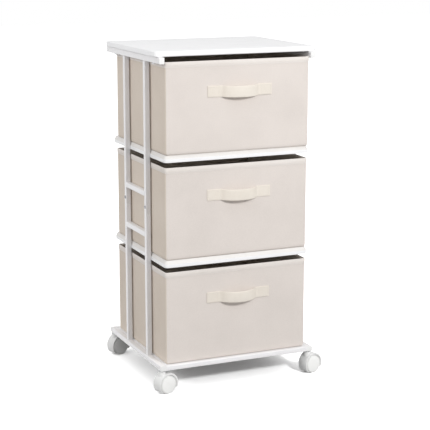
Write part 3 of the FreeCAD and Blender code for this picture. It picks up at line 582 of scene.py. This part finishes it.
def strap_line(half_length):
    """A function from the distance along the strap's middle line to (x, y out, slope angle)."""
    root = half_length - STRAP_SEWN
    swing = 2 * math.atan(STRAP_BOW / root)
    middle_bend = root / math.sin(swing) - STRAP_ROOT_BEND
    spans = (middle_bend * swing, STRAP_ROOT_BEND * swing, STRAP_SEWN)

    def at(distance):
        side = -1 if distance < 0 else 1
        run = abs(distance)
        if run <= spans[0]:
            angle = run / middle_bend
            x, out = middle_bend * math.sin(angle), STRAP_BOW - middle_bend * (1 - math.cos(angle))
        elif run <= spans[0] + spans[1]:
            angle = swing - (run - spans[0]) / STRAP_ROOT_BEND
            x, out = root - STRAP_ROOT_BEND * math.sin(angle), STRAP_ROOT_BEND * (1 - math.cos(angle))
        else:
            angle = 0.0
            x, out = root + run - spans[0] - spans[1], 0.0
        return side * x, out, side * angle
    return at, sum(spans)


def make_strap(level, seed):
    low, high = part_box(f"drawer_{level}_handle")
    middle = (low.x + high.x) / 2
    at, reach = strap_line((high.x - low.x) / 2)
    width = high.z - low.z
    bm = bmesh.new()
    bmesh.ops.create_grid(bm, x_segments=96, y_segments=10, size=0.5)
    layer = bm.loops.layers.uv.new("cloth")
    for face in bm.faces:
        for corner in face.loops:
            corner[layer].uv = (corner.vert.co.x * 2 * reach, corner.vert.co.y * width)
    for vertex in bm.verts:
        along, across = vertex.co.x * 2 * reach, vertex.co.y
        x, out, angle = at(along)
        free = math.sin(math.pi * min(1.0, out / STRAP_BOW) / 2)
        slack = noise.noise(Vector((along * 40, across * 1.5, seed))) * STRAP_SLACK * free
        curl = (abs(across) * 2) ** 4 * STRAP_CURL * free
        depth = high.y - STRAP_THICK / 2 - STRAP_REST - out - slack + curl
        rise = (low.z + high.z) / 2 + across * width - STRAP_DROOP * free
        vertex.co = Vector((middle + x, depth, rise))
    bmesh.ops.recalc_face_normals(bm, faces=bm.faces[:])
    if sum(face.normal.y for face in bm.faces) > 0:
        bmesh.ops.reverse_faces(bm, faces=bm.faces[:])
    bmesh.ops.translate(bm, vec=(0, -STRAP_THICK / 2 + STRAP_TRIM, 0), verts=bm.verts[:])
    bmesh.ops.solidify(bm, geom=bm.faces[:], thickness=STRAP_THICK - 2 * STRAP_TRIM)
    bmesh.ops.recalc_face_normals(bm, faces=bm.faces[:])
    rim = [e for e in bm.edges if e.is_manifold and e.calc_face_angle() > math.radians(60)]
    bmesh.ops.bevel(bm, geom=rim, offset=STRAP_EDGE, affect="EDGES", segments=2, profile=0.5,
                    material=-1)
    piece = finish_piece(bm, f"drawer_{level}_strap", (STRAP_CLOTH,), f"drawer_{level}",
                         (f"drawer_{level}_handle",), smooth_angle=50)
    print(piece.name, "cut length in mm:", round(2 * reach / MM, 1))


for number, level in enumerate(LEVELS):
    make_strap(level, 1.9 + 5.3 * number)

# %% [markdown]
# Stitches are real thread: short six-sided beads that lie on the cloth in a row. One stitch is modelled
# once, and copied along each row with its own turn.

# %% Stitches
STITCH_LENGTH = 2.8 * MM
STITCH_PITCH = 4.2 * MM
THREAD_RADIUS = 0.32 * MM
HEM_SEAM = 4.2 * MM
SEAM_INSET = 3.2 * MM
THREAD_PROUD = 0.05 * MM
THREAD_SUNK = 0.3 * MM


def stitch_mesh():
    bm = bmesh.new()
    bmesh.ops.create_cone(bm, cap_ends=True, segments=6, radius1=THREAD_RADIUS, radius2=THREAD_RADIUS,
                          depth=STITCH_LENGTH)
    ends = [f for f in bm.faces if len(f.verts) == 6]
    for end in ends:
        bmesh.ops.inset_region(bm, faces=[end], thickness=THREAD_RADIUS * 0.45, depth=THREAD_RADIUS * 0.5)
    mesh = bpy.data.meshes.new("stitch")
    bm.to_mesh(mesh)
    bm.free()
    return mesh


STITCH = stitch_mesh()


def sew(bm, start, end, normal):
    """A row of stitches from start to end on a surface that faces along normal."""
    run = end - start
    count = max(1, round(run.length / STITCH_PITCH))
    direction = run.normalized()
    side = normal.cross(direction)
    turn = Matrix((side, normal, direction)).transposed().to_4x4()
    for number in range(count):
        middle = start + run * ((number + 0.5) / count)
        before = len(bm.verts)
        bm.from_mesh(STITCH)
        bm.verts.ensure_lookup_table()
        bmesh.ops.transform(bm, matrix=Matrix.Translation(middle) @ turn, verts=bm.verts[before:])


def make_hem_stitches(level):
    """One row on each wall, a little above the hem's lower edge."""
    half_x, half_y, centre, height = drawer_places(level)
    line = centre.z + height - HEM_HEIGHT + HEM_SEAM
    out = HEM_FOLD + THREAD_PROUD
    bm = bmesh.new()
    for sign in (-1, 1):
        x = centre.x + sign * (half_x + out)
        y = centre.y + sign * (half_y + out)
        along_x, along_y = half_x - DRAWER_CORNER, half_y - DRAWER_CORNER
        sew(bm, Vector((x, centre.y - along_y, line)), Vector((x, centre.y + along_y, line)),
            Vector((sign, 0, 0)))
        sew(bm, Vector((centre.x - along_x, y, line)), Vector((centre.x + along_x, y, line)),
            Vector((0, sign, 0)))
    lay_uv(bm)
    finish_piece(bm, f"drawer_{level}_hem_stitches", (THREAD,), f"drawer_{level}")


def make_strap_stitches(level):
    """A rectangle of stitches round each sewn end."""
    low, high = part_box(f"drawer_{level}_handle")
    y = high.y - STRAP_THICK + THREAD_SUNK
    bm = bmesh.new()
    for left, right in ((low.x, low.x + STRAP_SEWN), (high.x - STRAP_SEWN, high.x)):
        corners = [Vector((x, y, z)) for x, z in (
            (left + SEAM_INSET, low.z + SEAM_INSET), (right - SEAM_INSET, low.z + SEAM_INSET),
            (right - SEAM_INSET, high.z - SEAM_INSET), (left + SEAM_INSET, high.z - SEAM_INSET))]
        for here, there in zip(corners, corners[1:] + corners[:1]):
            sew(bm, here, there, Vector((0, -1, 0)))
    lay_uv(bm)
    finish_piece(bm, f"drawer_{level}_strap_stitches", (THREAD,), f"drawer_{level}")


for level in LEVELS:
    make_hem_stitches(level)
    make_strap_stitches(level)
print("stitches sewn")

# %% [markdown]
# The tubes, caps and panels of the frame are copies of their solids with eased edges: the loose triangles
# are merged, the flat faces joined, and the sharp edges bevelled. The eased ends of the upper and lower
# posts make the thin dark seams that show where the two lengths meet. The shelves' tops and shoulders
# take a slightly greyer tone than their upright edges, as painted shade under the drawers standing on them,
# and the deck's underside is plain grey board.

# %% The frame with eased edges
MERGE_WITHIN = 0.002 * MM
FLAT_WITHIN = math.radians(0.6)
SHARP_FROM = math.radians(28)


def softened_copy(node, width):
    """A copy of a solid with its sharp edges rounded by this width."""
    bm = bmesh.new()
    bm.from_mesh(nodes[node].data)
    bmesh.ops.remove_doubles(bm, verts=bm.verts[:], dist=MERGE_WITHIN)
    bmesh.ops.dissolve_limit(bm, angle_limit=FLAT_WITHIN, verts=bm.verts[:], edges=bm.edges[:])
    sharp = [e for e in bm.edges if e.is_manifold and e.calc_face_angle() > SHARP_FROM]
    bmesh.ops.bevel(bm, geom=sharp, offset=width, affect="EDGES", segments=3, profile=0.5,
                    clamp_overlap=True, material=-1)
    return bm


EASED = {
    0.7 * MM: [f"{half}_post_{spot}" for half in ("lower", "upper") for spot in SPOTS],
    0.35 * MM: ["top_rail_left", "top_rail_right", "top_rail_caps", "base_rail_caps"],
    0.8 * MM: [f"base_rail_{side}" for side in ("left", "right", "front", "rear")],
    0.5 * MM: ["shelf_upper", "shelf_lower", "base_deck"],
}
SHOULDER_RISE = 0.25
UNDERSIDE_FALL = -0.5
# The shelves' upward faces take the shelf top, which is painted shade; the deck's downward faces take the raw
# board.
SECOND_FINISH = {
    "shelf_upper": (SHADED_SHELF_TOP, lambda normal: normal.z > SHOULDER_RISE),
    "shelf_lower": (SHADED_SHELF_TOP, lambda normal: normal.z > SHOULDER_RISE),
    "base_deck": (RAW_BOARD, lambda normal: normal.z < UNDERSIDE_FALL),
}
for width, group in EASED.items():
    for node in group:
        bm = softened_copy(node, width)
        finishes = [SLOT_FINISH[slot_of[node]]]
        if node in SECOND_FINISH:
            finish, chosen = SECOND_FINISH[node]
            finishes.append(finish)
            bm.normal_update()
            for face in bm.faces:
                face.material_index = int(chosen(face.normal))
        finish_piece(bm, f"{node}_eased", finishes, "frame", (node,), smooth_angle=30)
print("frame eased:", sum(len(group) for group in EASED.values()), "pieces")

# %% [markdown]
# The casters are moulded, so every edge of the hood is rolled. A wheel is turned like the real mould, by
# spinning its outline about the axle.

# %% The casters
HOOD_EDGE = 0.8 * MM


def make_hood(spot):
    bm = softened_copy(f"caster_{spot}_hood", HOOD_EDGE)
    finish_piece(bm, f"caster_{spot}_cover", (HOOD_PLASTIC,), f"caster_{spot}",
                 (f"caster_{spot}_hood",))


WHEEL_RADIUS = 22 * MM
HALF_WIDTH = 15 * MM
WHEEL_INNER = 3.7 * MM
BORE_RADIUS = 3.1 * MM
BORE_END = 11.8 * MM
DOME = 1.2 * MM
TREAD_ROUND = 1.6 * MM
RIM_ROUND = 0.8 * MM
RECESS = ((6.5 * MM, 0), (8 * MM, 1.2 * MM), (17 * MM, 1.2 * MM), (18.5 * MM, 0))
GROOVE_DEPTH = 1.4 * MM
WHEEL_SEGMENTS = 72


def wheel_outline():
    """Points (radius, distance from the caster's middle) from the hub's face to the cap's centre."""
    shoulder = HALF_WIDTH - DOME
    points = [(BORE_RADIUS, BORE_END), (BORE_RADIUS, WHEEL_INNER)]
    points += [(radius, WHEEL_INNER + depth) for radius, depth in RECESS]
    points.append((WHEEL_RADIUS - TREAD_ROUND, WHEEL_INNER))
    for centre, start, size in ((WHEEL_INNER + TREAD_ROUND, -90, TREAD_ROUND),
                                (shoulder - RIM_ROUND, 0, RIM_ROUND)):
        for step in range(1, 6):
            angle = math.radians(start + 18 * step)
            points.append((WHEEL_RADIUS - size + size * math.cos(angle), centre + size * math.sin(angle)))
    groove = WHEEL_RADIUS - RIM_ROUND - 0.3 * MM
    points += [(groove + 0.15 * MM, shoulder), (groove, shoulder - 0.2 * MM),
               (groove - 0.1 * MM, shoulder - GROOVE_DEPTH),
               (groove - 0.7 * MM, shoulder - GROOVE_DEPTH),
               (groove - 0.8 * MM, shoulder - 0.1 * MM)]
    inner = groove - 1.1 * MM
    for step in range(9):
        share = 1 - step / 9
        points.append((inner * share, HALF_WIDTH - DOME * share ** 2 + 0.05 * MM * share))
    points.append((0, HALF_WIDTH))
    return points


def make_wheel(spot, wheel):
    node = f"caster_{spot}_wheel_{wheel}"
    spin = [j for j in frame["joints"] if j["child"] == f"{node}_body"][0]
    centre = Vector(spin["pos_m"])
    axle = Vector(spin["axis"]) * (1 if wheel == "near" else -1)
    bm = bmesh.new()
    corners = [bm.verts.new((radius, 0, out)) for radius, out in wheel_outline()]
    for here, there in zip(corners, corners[1:]):
        bm.edges.new((here, there))
    bmesh.ops.spin(bm, geom=bm.verts[:] + bm.edges[:], cent=(0, 0, 0), axis=(0, 0, 1),
                   angle=2 * math.pi, steps=WHEEL_SEGMENTS, use_merge=True)
    bmesh.ops.remove_doubles(bm, verts=bm.verts[:], dist=0.01 * MM)
    bore = [e for e in bm.edges if e.is_boundary]
    close_ring(bm, bore)
    bmesh.ops.recalc_face_normals(bm, faces=bm.faces[:])
    turn = Vector((0, 0, 1)).rotation_difference(axle).to_matrix().to_4x4()
    bmesh.ops.transform(bm, matrix=Matrix.Translation(centre) @ turn, verts=bm.verts[:])
    finish_piece(bm, f"{node}_moulded", (WHEEL_PLASTIC,), f"{node}_body", (node,))


for spot in SPOTS:
    make_hood(spot)
    for wheel in ("near", "far"):
        make_wheel(spot, wheel)
print("casters ready")

# %% [markdown]
# The floor is a white sheet, a little overexposed to the camera alone, so that its open part is white and
# only the deep shadow under the cart stays. The world is white to the camera and to gloss, and lights the
# cart softly from all round. The key lamp stands in front, a little to the right, and a fill lamp on the
# left. They are near enough for the light to fall off towards the floor.

# %% Floor, world and lamps
AMBIENT = 0.73
LAMP_TARGET = Vector((0, 0, 0.5))
LAMPS = {
    "key lamp": (Vector((0.35, -2.3, 1.5)), 32.0, 0.34),
    "fill lamp": (Vector((-2.3, -0.2, 1.5)), 15.0, 0.7),
}
FLOOR_COLOUR = 0.3
FLOOR_OVEREXPOSED = 1.95
FLOOR_REACH = 12.0


def ray_kinds(tree, *kinds):
    """One for rays of any of these kinds, otherwise none."""
    path = add(tree, "ShaderNodeLightPath")
    total = path.outputs[kinds[0]]
    for kind in kinds[1:]:
        total = calculate(tree, "MAXIMUM", total, path.outputs[kind])
    return total


def make_floor():
    bm = bmesh.new()
    bmesh.ops.create_grid(bm, x_segments=1, y_segments=1, size=FLOOR_REACH)
    mesh = bpy.data.meshes.new("floor")
    bm.to_mesh(mesh)
    bm.free()
    material, tree, shader = new_material("white floor", 0.9, Specular_IOR_Level=0.0)
    seen = ray_kinds(tree, "Is Camera Ray", "Is Glossy Ray", "Is Transmission Ray")
    extra = calculate(tree, "MULTIPLY", seen, FLOOR_OVEREXPOSED - FLOOR_COLOUR)
    tree.links.new(calculate(tree, "ADD", extra, FLOOR_COLOUR), shader.inputs["Base Color"])
    mesh.materials.append(material)
    floor = bpy.data.objects.new("floor", mesh)
    bpy.context.scene.collection.objects.link(floor)


def make_world():
    world = bpy.data.worlds.new("white room")
    world.use_nodes = True
    tree = world.node_tree
    background = tree.nodes["Background"]
    background.inputs["Color"].default_value = (1, 1, 1, 1)
    seen = ray_kinds(tree, "Is Camera Ray", "Is Glossy Ray", "Is Transmission Ray")
    extra = calculate(tree, "MULTIPLY", seen, 1 - AMBIENT)
    tree.links.new(calculate(tree, "ADD", extra, AMBIENT), background.inputs["Strength"])
    bpy.context.scene.world = world


def make_lamp(name, place, power, size):
    data = bpy.data.lights.new(name, "AREA")
    data.shape = "DISK"
    data.energy = power
    data.size = size
    lamp = bpy.data.objects.new(name, data)
    lamp.location = place
    lamp.rotation_euler = (place - LAMP_TARGET).to_track_quat("Z", "Y").to_euler()
    lamp.visible_camera = False
    bpy.context.scene.collection.objects.link(lamp)


make_floor()
make_world()
for name, (place, power, size) in LAMPS.items():
    make_lamp(name, place, power, size)
bpy.context.scene.view_settings.view_transform = "Standard"
